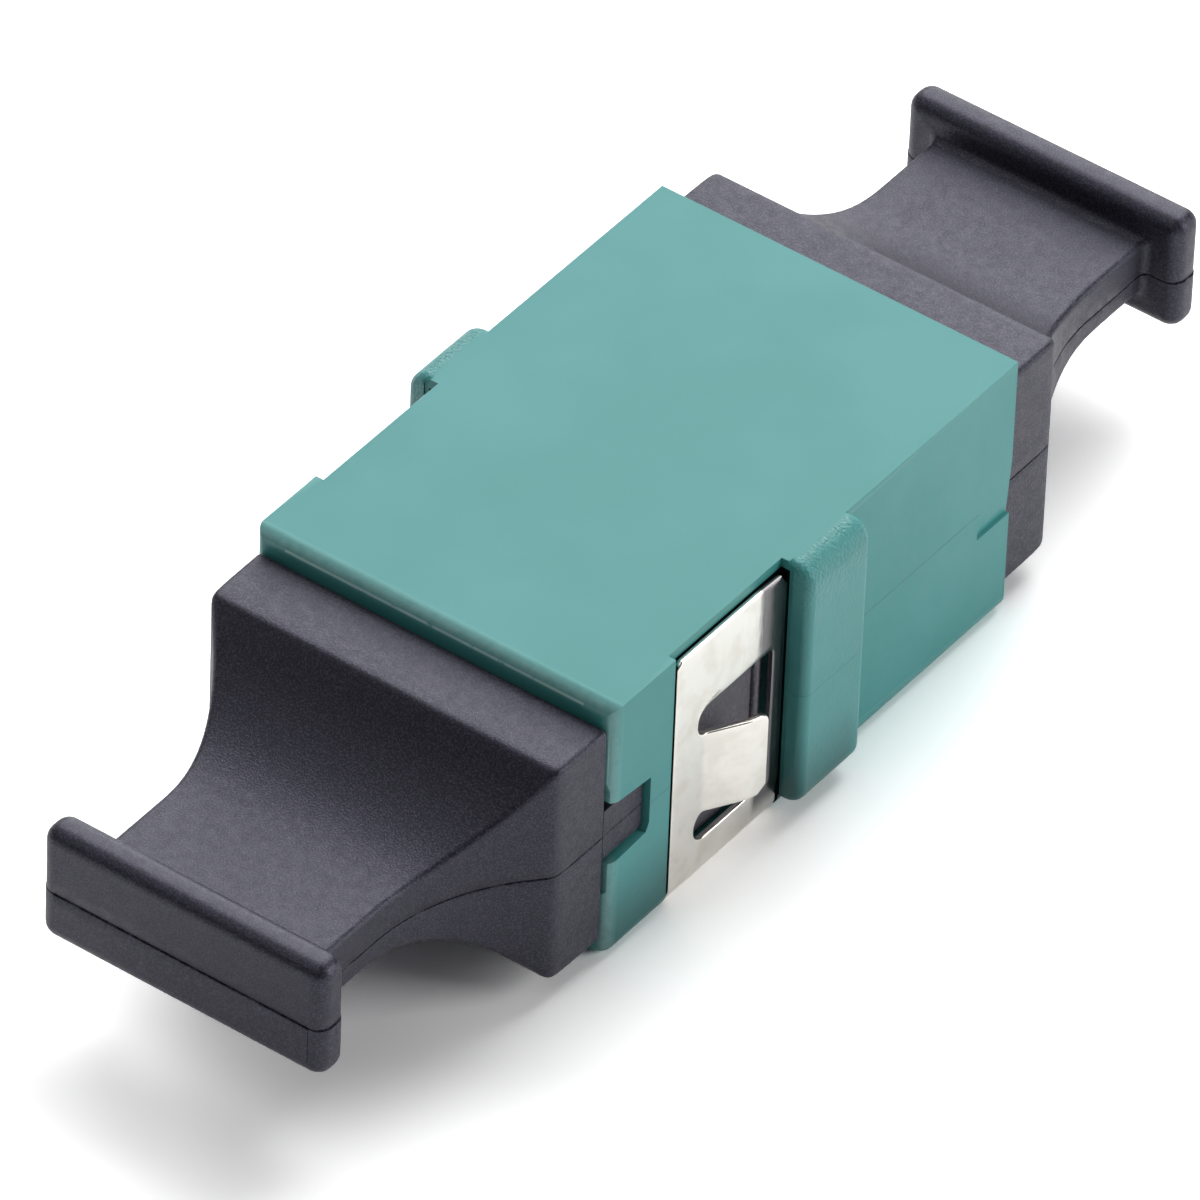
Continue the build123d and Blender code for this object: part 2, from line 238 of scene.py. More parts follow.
def ramp(recipe, value, low, high, to_low=0.0, to_high=1.0):
    """value from low to high becomes to_low to to_high, smoothly, and is held outside."""
    node = recipe.add("MapRange", interpolation_type="SMOOTHSTEP", in0=value, in1=low, in2=high,
                      in3=to_low, in4=to_high)
    return node.outputs[0]


def above(recipe, value, bound):
    """1 where the value is over the bound, else 0."""
    return math_node(recipe, "GREATER_THAN", value, bound)


def below(recipe, value, bound):
    """1 where the value is under the bound, else 0."""
    return math_node(recipe, "LESS_THAN", value, bound)


def between(recipe, value, low, high):
    """1 where the value lies between low and high, else 0."""
    return times(recipe, above(recipe, value, low), below(recipe, value, high))


def line(recipe, value, middle, half_width):
    """1 on a line where value is near middle, and 0 from half_width off it."""
    away = math_node(recipe, "ABSOLUTE", math_node(recipe, "SUBTRACT", value, middle))
    return ramp(recipe, away, 0.3 * half_width, half_width, 1.0, 0.0)


def grain(recipe, place, per_mm, detail=3.0):
    """Noise with about that many grains to the millimetre."""
    noise = recipe.add("TexNoise", Vector=place, Scale=per_mm, Detail=detail, Roughness=0.6)
    return noise.outputs["Fac"]


def tinted(recipe, factor, low, high):
    """A colour that goes from low to high with the factor."""
    mix = recipe.add("Mix", data_type="RGBA", in0=factor)
    mix.inputs[6].default_value, mix.inputs[7].default_value = (*low, 1), (*high, 1)
    return mix.outputs[2]


def laid_over(recipe, under, colour, factor):
    """The colour under it where the factor is 0, and the new colour where it is 1."""
    mix = recipe.add("Mix", data_type="RGBA", in0=factor, in6=under)
    mix.inputs[7].default_value = (*colour, 1)
    return mix.outputs[2]


def closed(recipe, colour, height, rough, metallic=0.0):
    """The end of every finish: a height in millimetres makes the bumps, and the shader
    takes the colour, the roughness and the metal. Gives back the shader's sockets."""
    bump = recipe.add("Bump", Height=height, Distance=MM, Strength=1.0)
    shader = recipe.add("BsdfPrincipled", Base_Color=colour, Roughness=rough, Metallic=metallic,
                        Normal=bump.outputs["Normal"])
    recipe.add("OutputMaterial", Surface=shader.outputs[0])
    print(recipe.name, "has", len(recipe.tree.nodes), "nodes")
    return shader.inputs


# %% [markdown]
# The aqua moulding is a satin plastic with a faint cloudiness. A hairline runs round
# the sides at half height, where the two halves of the mould met. The sides are also
# painted darker towards the foot, from the front as far as the ears: painted shade, not a
# colour of the plastic. One flat colour would look like a toy, so each of these is a
# pattern of its own, and they are worked out from places in millimetres: the finish can
# then be lit and turned like the piece.

# %% Aqua plastic: cloud, hairline and painted shade at the foot
BODY_END, MIDDLE, SIDE_X = 9.8, 4.75, 6.4
AQUA_DEEP, AQUA_PALE = (0.055, 0.272, 0.262), (0.068, 0.292, 0.290)
HAIRLINE_HALF, HAIRLINE_AQUA, FOOT_SHADE_AQUA = 0.022, (0.02, 0.09, 0.088), (0.012, 0.070, 0.068)

aqua = bpy.data.materials.new("aqua_plastic")
recipe = Recipe(aqua)
place, x, y, z = millimetres(recipe)
out = math_node(recipe, "ABSOLUTE", x)
cloud = ramp(recipe, grain(recipe, place, 0.16, 2.0), 0.35, 0.65)
colour = tinted(recipe, cloud, AQUA_DEEP, AQUA_PALE)
on_sides = ramp(recipe, out, SIDE_X - 0.04, SIDE_X - 0.01)
hairline = times(recipe, line(recipe, z, MIDDLE, HAIRLINE_HALF), on_sides)
colour = laid_over(recipe, colour, HAIRLINE_AQUA, times(recipe, hairline, 0.45))
# painted shade: the sides darker towards the foot, from the front as far as the ears
foot = times(recipe, ramp(recipe, z, 0.2, 3.8, 0.78, 0.0), ramp(recipe, y, 0.6, 1.6, 1.0, 0.0),
             ramp(recipe, out, 6.0, 6.3))
colour = laid_over(recipe, colour, FOOT_SHADE_AQUA, foot)

# %% [markdown]
# The rounded rim of the front face is frosted by use, and made lighter still as a painted
# highlight on the rounding. One pale line along its top, broken by noise, is a painted
# highlight too. The recess behind the clip is a slit too thin for light, so its shade is
# painted dark into the colour as well: below the clip's top edge, between the recess's
# ends, and on the sliver of the ear's seat face beside the clip. The wall of the port,
# which lies further in, is left aqua.

# %% Aqua plastic: frosted rim, painted highlights and painted recess shade
FROST_AND_HIGHLIGHT, RECESS_PAINTED_SHADE = (0.42, 0.66, 0.64), (0.004, 0.005, 0.006)
HIGHLIGHT_LINE_Z, HIGHLIGHT_LINE_HALF, HIGHLIGHT_LINE_END = 9.22, 0.065, 5.3
RECESS_NEAR, RECESS_FAR, RECESS_TOP, RECESS_X = -6.90, -1.44, 9.17, 6.385
SLIVER_X, SLIVER_Y, PORT_WALL_X, UNDER_WALL_Z = 6.445, -1.47, 6.05, 0.35

worn = ramp(recipe, grain(recipe, place, 4.0), 0.3, 0.6, 0.7, 1.0)
by_edges = math_node(recipe, "MAXIMUM", ramp(recipe, z, 9.0, 9.45), ramp(recipe, out, 5.9, 6.3))
# painted highlight: the worn rim's colour is lifted where its rounding should catch the light
rim = times(recipe, ramp(recipe, y, -BODY_END, -9.25, 1.0, 0.0), worn, by_edges)
broken = ramp(recipe, grain(recipe, place, 2.5, 4.0), 0.28, 0.42)
# painted highlight: a pale broken line along the top of the rim
highlight_line = times(recipe, line(recipe, z, HIGHLIGHT_LINE_Z, HIGHLIGHT_LINE_HALF), below(recipe, out, HIGHLIGHT_LINE_END),
                broken, ramp(recipe, y, -9.74, -9.6, 1.0, 0.0))
frost_and_highlight = math_node(recipe, "MAXIMUM", times(recipe, rim, 0.5), times(recipe, highlight_line, 0.95))
colour = laid_over(recipe, colour, FROST_AND_HIGHLIGHT, frost_and_highlight)

# painted shade: the recess behind the clip, and the sliver beside it, are coloured near black
sliver = times(recipe, below(recipe, out, SLIVER_X), between(recipe, y, SLIVER_Y, RECESS_FAR))
reach = math_node(recipe, "MAXIMUM", below(recipe, out, RECESS_X), sliver)
outside_port = math_node(recipe, "MAXIMUM", above(recipe, out, PORT_WALL_X),
                         below(recipe, z, UNDER_WALL_Z))
pocket = times(recipe, between(recipe, y, RECESS_NEAR, RECESS_FAR),
               between(recipe, z, 0.05, RECESS_TOP), reach, outside_port)
colour = laid_over(recipe, colour, RECESS_PAINTED_SHADE, pocket)

# %% [markdown]
# The ears have a pitted skin from a spark-cut insert in the mould, deepest near the top,
# and shine more than the body. The hairline is pressed in a little, and the pocket
# gets next to no gloss, because a mirror would undo its shadow.

# %% Aqua plastic: pits and gloss
on_ears = ramp(recipe, out, 6.45, 6.6)
pits = times(recipe, grain(recipe, place, 9.5, 2.0), on_ears, ramp(recipe, z, 7.4, 9.0, 0.010, 0.06))
fine = times(recipe, grain(recipe, place, 14.0, 2.0), 0.0012)
pressed = times(recipe, hairline, 0.01)
height = math_node(recipe, "SUBTRACT", math_node(recipe, "ADD", pits, fine), pressed)
rough = ramp(recipe, grain(recipe, place, 1.2), 0.3, 0.7, 0.30, 0.38)
sockets = closed(recipe, colour, height, rough)
gloss = times(recipe, ramp(recipe, on_ears, 0.0, 1.0, 0.26, 0.42),
              ramp(recipe, pocket, 0.0, 1.0, 1.0, 0.1))
recipe.tree.links.new(gloss, sockets["Specular IOR Level"])

# %% [markdown]
# The caps are a dark rubbery plastic, violet rather than brown, with a very fine
# spark-eroded grain: pale specks in the colour and small bumps under the sheen. The bumps
# are a quarter as deep on the pull bar. The mould's parting line is a groove in the caps'
# own shape, and the finish makes it darker in broken lengths, by a dent and less gloss.

# %% Grained charcoal
CHARCOAL_DEEP, CHARCOAL_PALE = (0.006, 0.006, 0.010), (0.049, 0.046, 0.066)
VIOLET_SHEEN = (0.80, 0.79, 1.0)
WAIST_END, SEAM_LINE_HALF = 20.25, 0.05

charcoal = bpy.data.materials.new("grained_charcoal")
recipe = Recipe(charcoal)
place, _, y, z = millimetres(recipe)
along = math_node(recipe, "ABSOLUTE", y)
strength = ramp(recipe, along, WAIST_END - 0.1, WAIST_END + 0.1)
strength = ramp(recipe, strength, 0.0, 1.0, 1.0, 0.25)
speck = grain(recipe, place, 17.0, 2.0)
colour = tinted(recipe, ramp(recipe, speck, 0.42, 0.68), CHARCOAL_DEEP, CHARCOAL_PALE)
broken = ramp(recipe, grain(recipe, place, 1.6), 0.35, 0.5, 0.35, 1.0)
seam = times(recipe, line(recipe, z, MIDDLE, SEAM_LINE_HALF), broken)
height = math_node(recipe, "SUBTRACT", times(recipe, speck, times(recipe, strength, 0.018)),
                   times(recipe, seam, 0.02))
rough = ramp(recipe, grain(recipe, place, 3.0), 0.3, 0.7, 0.40, 0.50)
sockets = closed(recipe, colour, height, rough)
recipe.tree.links.new(ramp(recipe, seam, 0.0, 1.0, 0.55, 0.06), sockets["Specular IOR Level"])
sockets["Specular Tint"].default_value = (*VIOLET_SHEEN, 1)

# %% [markdown]
# The clip is bright rolled steel with faint warm stains, and fine streaks along the
# strip. It is almost a mirror, so it shows the white paper. Beside the ear the real one
# mirrors the ear's shaded face; here that dark band is a painted reflection in the colour.

# %% Clip steel and a painted reflection of the ear
STEEL, STAINED_STEEL, EAR_PAINTED_REFLECTION = (0.87, 0.84, 0.79), (0.77, 0.735, 0.675), (0.18, 0.17, 0.175)

steel = bpy.data.materials.new("clip_steel")
recipe = Recipe(steel)
place, _, y, z = millimetres(recipe)
stretched = recipe.add("Mapping", Vector=place, Scale=(1.0, 9.0, 1.0))
streak = grain(recipe, stretched.outputs[0], 1.6, 4.0)
stain = ramp(recipe, grain(recipe, place, 1.1, 3.0), 0.38, 0.7)
colour = tinted(recipe, stain, STEEL, STAINED_STEEL)
wavering = math_node(recipe, "ADD", y, times(recipe, streak, 0.25))
# painted reflection: a dark band near the clip's far end, where the steel would mirror the ear
painted_ear_reflection = times(recipe, ramp(recipe, wavering, -2.72, -2.42), ramp(recipe, z, 0.5, 1.2))
colour = laid_over(recipe, colour, EAR_PAINTED_REFLECTION, painted_ear_reflection)
rough = ramp(recipe, streak, 0.3, 0.7, 0.16, 0.25)
closed(recipe, colour, times(recipe, streak, 0.0006), rough, metallic=1.0)

# %% [markdown]
# The latch shows only through the clip's windows: black nylon with a coarse, shiny grain.
# A plain black would look like a hole there, so the grain's bumps are made deep enough
# to catch the light.

# %% Latch black
NYLON_DEEP, NYLON_PALE = (0.045, 0.042, 0.053), (0.17, 0.16, 0.19)

latch_black = bpy.data.materials.new("latch_black")
recipe = Recipe(latch_black)
speck = grain(recipe, millimetres(recipe)[0], 8.0, 3.0)
closed(recipe, tinted(recipe, speck, NYLON_DEEP, NYLON_PALE), times(recipe, speck, 0.06), 0.36)

# %% [markdown]
# Each imported solid gets its finish. The caps and the clip are replaced by finer skins
# further on, but their solids get one too.

# %% Finishes on the imported solids
for node, material in (
    ("housing", aqua), ("retaining_clip", steel), ("latch_insert", latch_black),
    ("dust_cap_front", charcoal), ("dust_cap_rear", charcoal),
):
    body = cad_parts[node]
    body.data.materials.clear()
    body.data.materials.append(material)
    print(node, "is", material.name)

# %% [markdown]
# Each dust cap is one soft moulding: a plug for the port, a square block, a waist scooped
# out for two fingertips, and a bar to pull on. A plain solid shows its facets in
# the scoops, so the cap is drawn again as one skin. A rounded rectangle is carried along
# the cap, and at each station its half width, top and bottom come from a curve. All
# the stations' rings are worked out at once, as rows of an array.

# %% Sizes of the caps, in millimetres
SEAT = BODY_END + 0.04
PLUG_HALF_W, PLUG_HALF_H, PLUG_LONG, PLUG_NOSE, PLUG_ROUND = 4.92, 3.52, 3.4, 0.4, 0.4
BLOCK_HALF_W, BLOCK_HALF_H, BLOCK_LONG, BLOCK_ROUND = 6.22, 4.0, 2.28, 0.15
NECK_HALF_W, NECK_UP, NECK_DOWN, WAIST_LONG = 3.83, 1.2, 0.75, 8.1
SIDE_SCOOP, TOP_SCOOP, UNDER_SCOOP = 5.3, 4.6, 6.0
COLLAR_LONG, COLLAR_OUT = 0.3, 0.24
BAR_HALF_W, BAR_HALF_H, BAR_UP, BAR_THICK, BAR_ROUND = 5.0, 2.025, 0.22, 1.2, 0.48
TAB_LONG, TAB_LOW, TAB_HIGH, TAB_HALF_W = 1.89, 3.87, 5.71, 6.2
SOFT_EDGE, EDGE_ROUND, SEAM_HALF, SEAM_DEEP, HALF_STEP = 0.05, 0.2, 0.03, 0.035, 0.03
BAR_SHARE = 0.6


def scoop(station, long, from_value, to_value):
    """The curve of a scoop: it leaves the block's edge at an angle and runs out level on
    the neck. The arc's height above the neck at a distance x from its foot is
    R - sqrt(R^2 - x^2), with R = (L^2 + h^2) / (2 h) so that it climbs h over the length
    L. Past L it goes on straight. The smaller of that and the block's own size, with
    the corner between them rounded by sqrt((a - b)^2 + round^2), is the answer."""
    high = abs(from_value - to_value)
    radius = (long ** 2 + high ** 2) / (2 * high)
    x = np.clip(BLOCK_LONG + long - station, 0, None)
    inside = np.minimum(x, long)
    arc = radius - np.sqrt(radius ** 2 - inside ** 2)
    slope = long / math.sqrt(radius ** 2 - long ** 2)
    arc = arc + slope * (x - inside)
    least = 0.5 * (arc + high - np.sqrt((arc - high) ** 2 + EDGE_ROUND ** 2))
    return to_value + math.copysign(1.0, from_value - to_value) * least


halfway = scoop(BLOCK_LONG + 0.5 * TOP_SCOOP, TOP_SCOOP, BLOCK_HALF_H, NECK_UP)
print("the top's scoop is", round(float(halfway), 2), "mm above the middle halfway down")

# %% [markdown]
# The stations crowd together where the shape turns: at the block's edge, at the collar
# before the bar, and round the bar's own edges. The front cap has a tab on each side of
# its plug that fills the housing's notch, and the rear one has none.

# %% Stations


def stations(tabs):
    """Rows of place along the cap from its seat, half width, top, bottom, corner round,
    tab half width, seam depth and half step. The plug's nose lies below nought, and the
    bar's outer face comes last."""
    rows = []

    def row(place, half_w, top, bottom, corner, tab=None, seam=0.0, step=0.0):
        tab = half_w if tab is None else tab
        rows.append([place, half_w, top, bottom, corner, tab, seam, step])

    nose_w, nose_h = PLUG_HALF_W - PLUG_NOSE, PLUG_HALF_H - PLUG_NOSE
    plug = (PLUG_HALF_W, PLUG_HALF_H, -PLUG_HALF_H, PLUG_ROUND)
    row(-PLUG_LONG, nose_w, nose_h, -nose_h, 0.5 * PLUG_ROUND)
    row(-PLUG_LONG + PLUG_NOSE, *plug)
    if tabs:
        row(-TAB_LONG, *plug)
        row(-TAB_LONG, *plug, TAB_HALF_W - SOFT_EDGE)
        row(-TAB_LONG + SOFT_EDGE, *plug, TAB_HALF_W)
    row(0, *plug, TAB_HALF_W if tabs else None)
    row(0, BLOCK_HALF_W - SOFT_EDGE, BLOCK_HALF_H - SOFT_EDGE, -BLOCK_HALF_H + SOFT_EDGE, BLOCK_ROUND)

    bar = BLOCK_LONG + WAIST_LONG
    near_edge = BLOCK_LONG + np.linspace(-0.3, 0.3, 21)
    scooped = np.arange(BLOCK_LONG + 0.42, bar - 0.35, 0.14)
    collar = bar - np.array([0.34, 0.28, 0.22, 0.16, 0.11, 0.07, 0.035, 0.0])
    place = np.concatenate([[SOFT_EDGE, 0.6, 1.2, 1.7], near_edge, scooped, collar])
    half_w = scoop(place, SIDE_SCOOP, BLOCK_HALF_W, NECK_HALF_W)
    top = scoop(place, TOP_SCOOP, BLOCK_HALF_H, NECK_UP)
    bottom = scoop(place, UNDER_SCOOP, -BLOCK_HALF_H, -NECK_DOWN)
    # the collar flares like a quarter circle where the neck meets the bar
    to_bar = np.clip(1 - (bar - place) / COLLAR_LONG, 0, 1)
    flare = COLLAR_OUT * (1 - np.sqrt(1 - to_bar ** 2))
    for p, w, t, b, f in zip(place, half_w, top, bottom, flare):
        row(p, w + f, t + f, b - f, EDGE_ROUND, seam=SEAM_DEEP)

    # the bar's edges are quarter rounds, one where it meets the collar and one outside
    quarter = np.radians(np.linspace(0, 90, 9))
    inner = [(bar + BAR_ROUND * (1 - math.cos(a)), math.sin(a)) for a in quarter]
    outer = [(bar + BAR_THICK - BAR_ROUND * (1 - math.cos(a)), math.sin(a)) for a in quarter[::-1]]
    flat_w, flat_h = BAR_HALF_W - BAR_ROUND, BAR_HALF_H - BAR_ROUND
    for at, grown in inner + outer:
        out = BAR_ROUND * grown
        row(at, flat_w + out, BAR_UP + flat_h + out, BAR_UP - flat_h - out, max(out, 0.004),
            seam=BAR_SHARE * SEAM_DEEP * grown, step=grown)
    return np.array(rows)


print(len(stations(True)), "stations on the front cap,", len(stations(False)), "on the rear one")

# %% [markdown]
# A station is a ring of eighty points. Each side of the ring has points for the two corner
# rounds, for the edges of the tab, and five for the seam: a little V where the two
# halves of the mould met. Where a station has no tab the tab's points lie in the
# side, so every ring has the same points and the rings join up into quads.

# %% Rings
SIDE_POINTS, ACROSS_POINTS, ROUND_POINTS, TAB_EDGE = 23, 17, 5, 0.02
IN_TAB = np.zeros(SIDE_POINTS)
IN_TAB[7:16] = 1.0
IN_SEAM = np.zeros(SIDE_POINTS)
IN_SEAM[[10, 11, 12]] = 0.5, 1.0, 0.5
UNDER_SEAM = np.arange(SIDE_POINTS) < 11
LOWER_ROUND = np.arange(SIDE_POINTS) < ROUND_POINTS


def side_heights(top, bottom, corner):
    """Heights of the 23 points up one side, for all stations at once: the lower corner's
    round from 45 degrees to level, the wall with the tab and seam, the upper round."""
    low, high = bottom + corner, top - corner
    tab_low = np.maximum(TAB_LOW - MIDDLE, 0.85 * low)
    tab_high = np.minimum(TAB_HIGH - MIDDLE, 0.85 * high)
    zero = np.zeros_like(low)
    rounding = np.radians(np.linspace(0, 45, ROUND_POINTS))
    lower = [low - corner * math.sin(a) for a in rounding[::-1]]
    upper = [high + corner * math.sin(a) for a in rounding]
    wall = [
        0.5 * (low + tab_low), tab_low - TAB_EDGE, tab_low + TAB_EDGE, 0.5 * tab_low,
        zero - SEAM_HALF, zero - 0.5 * SEAM_HALF, zero, zero + 0.5 * SEAM_HALF, zero + SEAM_HALF,
        0.5 * tab_high, tab_high - TAB_EDGE, tab_high + TAB_EDGE, 0.5 * (high + tab_high),
    ]
    return np.stack(lower + wall + upper, axis=1)


def rings(rows, wander):
    """All the rings as an array (stations, points, x and z), measured from the middle
    height. A side point lies at the half width less corner * (1 - cos a) in a
    corner round, and less the seam's depth in the seam. The lower half of the mould stands
    proud of the upper by the half step."""
    place, half_w, top, bottom, corner, tab, seam, step = rows.T
    bend = np.zeros(SIDE_POINTS)
    bend[:ROUND_POINTS] = np.radians(np.linspace(45, 0, ROUND_POINTS))
    bend[-ROUND_POINTS:] = np.radians(np.linspace(0, 45, ROUND_POINTS))
    x_side = half_w[:, None] - corner[:, None] * (1 - np.cos(bend))
    x_side += (tab - half_w)[:, None] * IN_TAB
    x_side -= (seam * wander)[:, None] * IN_SEAM
    x_side += HALF_STEP * step[:, None] * UNDER_SEAM
    z_side = side_heights(top, bottom, corner) - HALF_STEP * step[:, None] * LOWER_ROUND
    # across the top from right to left: rest of the round, the flat, the next round
    turn = np.radians(np.linspace(45, 90, ROUND_POINTS))[1:]
    across = np.linspace(1, -1, ACROSS_POINTS - 6)[1:-1]
    flat = (half_w - corner)[:, None]
    x_top = np.concatenate([flat + corner[:, None] * np.cos(turn), flat * across,
                            -flat - corner[:, None] * np.cos(turn[::-1])], axis=1)
    lift = np.concatenate([np.sin(turn), np.ones(across.size), np.sin(turn[::-1])])
    z_top = (top - corner)[:, None] + corner[:, None] * lift
    z_bottom = (bottom + corner)[:, None] - corner[:, None] * lift
    z_bottom -= HALF_STEP * step[:, None]
    x = np.concatenate([x_side, x_top, -x_side[:, ::-1], x_top[:, ::-1]], axis=1)
    z = np.concatenate([z_side, z_top, z_side[:, ::-1], z_bottom], axis=1)
    return np.stack([x, z], axis=2)


# %% [markdown]
# Quads join each ring to the next. The plug's nose and the bar's face are closed by a
# patch that is stretched between the four sides of the end ring, so there is no pole and
# no large flat face, and the seam can run on across the bar.

# %% Skin of a cap


def patch(left, right, low, high):
    """A smooth patch inside four edges: the blend of left to right, plus the blend of
    low to high, less the blend of the four corners."""
    v = np.linspace(0, 1, left.shape[0])[:, None, None]
    u = np.linspace(0, 1, low.shape[0])[None, :, None]
    sides = (1 - u) * left[:, None] + u * right[:, None]
    levels = (1 - v) * low[None] + v * high[None]
    corners = (1 - v) * ((1 - u) * low[0] + u * low[-1]) + v * ((1 - u) * high[0] + u * high[-1])
    return sides + levels - corners


def closed_end(flat, number, used, is_bar):
    """The points and quads that close one end ring. flat holds the rings' points, number
    the places of this ring's points in it, and used how many points there are so far."""
    left_from = SIDE_POINTS + ACROSS_POINTS
    right = number[:SIDE_POINTS]
    left = number[left_from:left_from + SIDE_POINTS][::-1]
    over = np.concatenate([[left[-1]], number[SIDE_POINTS:left_from][::-1], [right[-1]]])
    under = np.concatenate([[left[0]], number[left_from + SIDE_POINTS:], [right[0]]])
    inner = patch(flat[left], flat[right], flat[under], flat[over])
    if is_bar:
        # the seam and the mould's half step run across the bar's face too
        inner[:, :, 1] -= (BAR_SHARE * SEAM_DEEP) * IN_SEAM[:, None]
        inner[:, :, 1] += BAR_SHARE * HALF_STEP * UNDER_SEAM[:, None]
    grid = np.zeros(inner.shape[:2], int)
    grid[:, 0], grid[:, -1], grid[0], grid[-1] = left, right, under, over
    fresh = inner[1:-1, 1:-1]
    grid[1:-1, 1:-1] = used + np.arange(fresh.shape[0] * fresh.shape[1]).reshape(fresh.shape[:2])
    cells = np.stack([grid[:-1, :-1], grid[:-1, 1:], grid[1:, 1:], grid[1:, :-1]], axis=2)
    return fresh.reshape(-1, 3), cells.reshape(-1, 4)[:, ::1 if is_bar else -1]


def cap_skin(rows, towards, wander):
    """Points and quads of a closed cap. towards is -1 for the front cap, whose places run
    to -Y, and +1 for the rear one. Rings join by quads, and a patch closes each end."""
    ring = rings(rows, wander)
    count, around = ring.shape[:2]
    place = np.repeat(rows[:, 0], around).reshape(count, around)
    flat = np.stack([ring[:, :, 0], place, ring[:, :, 1]], axis=2).reshape(-1, 3)
    i, j = np.meshgrid(np.arange(count - 1), np.arange(around), indexing="ij")
    k = (j + 1) % around
    quads = np.stack([i * around + j, i * around + k, (i + 1) * around + k, (i + 1) * around + j], axis=2)
    all_points, all_quads = [flat], [quads.reshape(-1, 4)]
    used = len(flat)
    for end in (0, count - 1):
        fresh, cells = closed_end(flat, end * around + np.arange(around), used, end > 0)
        used += len(fresh)
        all_points.append(fresh)
        all_quads.append(cells)
    points, quads = np.concatenate(all_points), np.concatenate(all_quads)
    points[:, 1] = towards * (SEAT + points[:, 1])
    points[:, 2] += MIDDLE
    return points, quads if towards < 0 else quads[:, ::-1]


# %% [markdown]
# Points and faces become an object at the origin, with its place in its mesh, so that
# the finish's millimetres fit it. It is smooth all over, except where it turns sharply.

# %% A mesh from points
CREASE = 40


def surface(name, points, faces):
    """A mesh object from points in millimetres. Faces are smooth, edges that turn by more
    than the crease angle stay sharp, and large faces lead the normals."""
    mesh = bpy.data.meshes.new(name)
    mesh.from_pydata((points * MM).tolist(), [], faces)
    mesh.validate()
    mesh.polygons.foreach_set("use_smooth", np.ones(len(mesh.polygons), bool))
    mesh.set_sharp_from_angle(angle=math.radians(CREASE))
    body = bpy.data.objects.new(name, mesh)
    bpy.context.collection.objects.link(body)
    weigh = body.modifiers.new("even_normals", "WEIGHTED_NORMAL")
    weigh.keep_sharp = True
    print(name, len(mesh.vertices), "points", len(mesh.polygons), "faces")
    return body


# %% [markdown]
# The seam comes and goes along the waist, as flash does on a worn mould, so a
# random curve, the same on each run, scales its depth from station to station. Each
# skin rides on its cap's moving body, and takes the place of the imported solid.

# %% Both caps
for name, node, towards, body, seed in (
    ("front_cap_skin", "dust_cap_front", -1, "front_cap", 3),
    ("rear_cap_skin", "dust_cap_rear", 1, "rear_cap", 8),
):
    rows = stations(tabs=towards < 0)
    rng = np.random.default_rng(seed)
    wander = np.interp(rows[:, 0], np.linspace(-4, 12, 60), rng.uniform(0.2, 1.2, 60))
    points, quads = cap_skin(rows, towards, wander)
    skin = surface(name, points, quads.tolist())
    skin.data.materials.append(charcoal)
    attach(skin, body)
    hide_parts(node)

# %% [markdown]
# The clip is one strip folded from flat sheet, and it is drawn the way it is made, because
# a shape cut out of a block would grow thick and thin in its bends. First comes
# the flat blank: an outline and two C-shaped windows that leave a tongue each.
# The blank's width coordinate u runs along the folded section from the middle of the
# underside, and v is the place along the mating axis, so nothing stretches in the folds.

# %% Outline of the clip's blank, in millimetres
SHEET, LEG_X, UNDER_Z, FOLD = 0.2, 6.38, 0.02, 0.52
CLIP_NEAR, CLIP_FAR, CLIP_TOP = -6.72, -1.53, 9.15
CORNER_ROUND, CUT_CORNER_V, CUT_CORNER_U = 0.3, 0.24, 0.36
FLAT_HALF = LEG_X - FOLD
FOLD_LONG = FOLD * math.pi / 2
TO_U = FLAT_HALF + FOLD_LONG - (UNDER_Z + FOLD)
WINDOW_NEAR, WINDOW_FAR, WINDOW_LOW, WINDOW_HIGH = -5.58, -2.06, 1.5, 6.6
TONGUE_LOW, TONGUE_HIGH, TONGUE_ROOT, TONGUE_LONG = 2.55, 5.55, 0.45, 2.47
BENDS_AT, BENDS_TO = [0, 0.26, 0.53, 1.73, 1.86, TONGUE_LONG], [0, 0, 0.5404, 0.5404, 0.2783, 0.2783]


def arc(middle, radius, start, stop, count=9):
    """Points on a circle from one angle to another, in degrees, as (z, v) pairs."""
    angle = np.radians(np.linspace(start, stop, count))
    return np.stack([middle[0] + radius * np.cos(angle), middle[1] + radius * np.sin(angle)], axis=1)


def tongue_curve():
    """The tongue from the side: how far it reaches along v and stands out along x, and
    its slope angle, at each length along the sheet. The slope is nought at the root,
    swings up in one bend and part of the way back in a second, and the place is the
    running sum of the slope's cosine and sine."""
    length = np.linspace(0, TONGUE_LONG, 400)
    slope = np.interp(length, BENDS_AT, BENDS_TO)
    step = np.diff(length, prepend=0)
    return length, np.cumsum(np.cos(slope) * step), np.cumsum(np.sin(slope) * step), slope


def window_loop():
    """The C-shaped hole of a leg, as (z, v) pairs once round. r rounds the tongue's root,
    e and f the window's corners, t and c are the tip's round and its cut corner."""
    tip = WINDOW_NEAR + TONGUE_LONG
    near, far, low, high = WINDOW_NEAR, WINDOW_FAR, WINDOW_LOW, WINDOW_HIGH
    r, e, f, t, c = TONGUE_ROOT, 0.5, 0.15, 0.3, 0.3
    return np.concatenate([
        arc((TONGUE_HIGH + r, near + r), r, 180, 270),
        arc((high - e, near + e), e, 270, 360),
        arc((high - f, far - f), f, 0, 90, 5),
        arc((low + f, far - f), f, 90, 180, 5),
        arc((low + e, near + e), e, 180, 270),
        arc((TONGUE_LOW - r, near + r), r, 270, 360),
        [(TONGUE_LOW, tip - c), (TONGUE_LOW + c, tip)],
        arc((TONGUE_HIGH - t, tip - t), t, 90, 0, 7),
    ])


